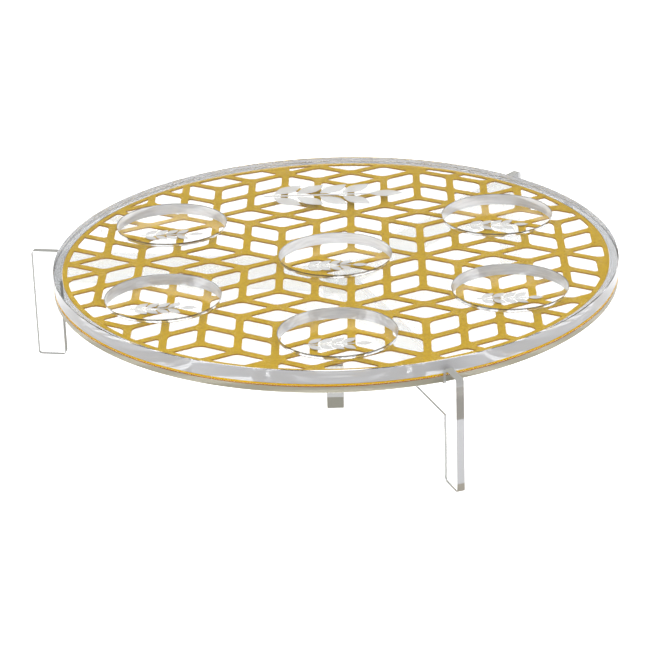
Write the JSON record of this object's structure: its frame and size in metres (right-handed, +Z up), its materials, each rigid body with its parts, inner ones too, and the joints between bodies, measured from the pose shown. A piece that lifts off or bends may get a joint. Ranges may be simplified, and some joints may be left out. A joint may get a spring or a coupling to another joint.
{
  "type": "seder plate",
  "caption": "Round clear acrylic seder plate with shallow round wells and a gold lattice sheet inside, lying on a stand of crossed flat legs from which it lifts off.",
  "frame": {"origin": "on the plate's axis at table level, under the middle well", "axes": "+Z up along the plate's axis, -Y towards the front well, +X to the right as seen from the front"},
  "size_m": [0.4198, 0.4096, 0.0861],
  "materials": {
    "clear_acrylic": "polished clear",
    "gold_sheet": "satin gold"
  },
  "bodies": {
    "stand": {"leg_left": "clear_acrylic", "leg_front": "clear_acrylic", "leg_back": "clear_acrylic"},
    "plate": {"top_disc": "clear_acrylic", "gold_lattice": "gold_sheet", "spacer_ring": "clear_acrylic", "base_disc": "clear_acrylic", "foot_front": "clear_acrylic", "foot_right": "clear_acrylic", "foot_left": "clear_acrylic"}
  },
  "joints": [
    {"name": "plate_lift", "type": "slide", "parent": "stand", "child": "plate", "axis": [0, 0, 1], "range_m": [0, 0.1]}
  ]
}
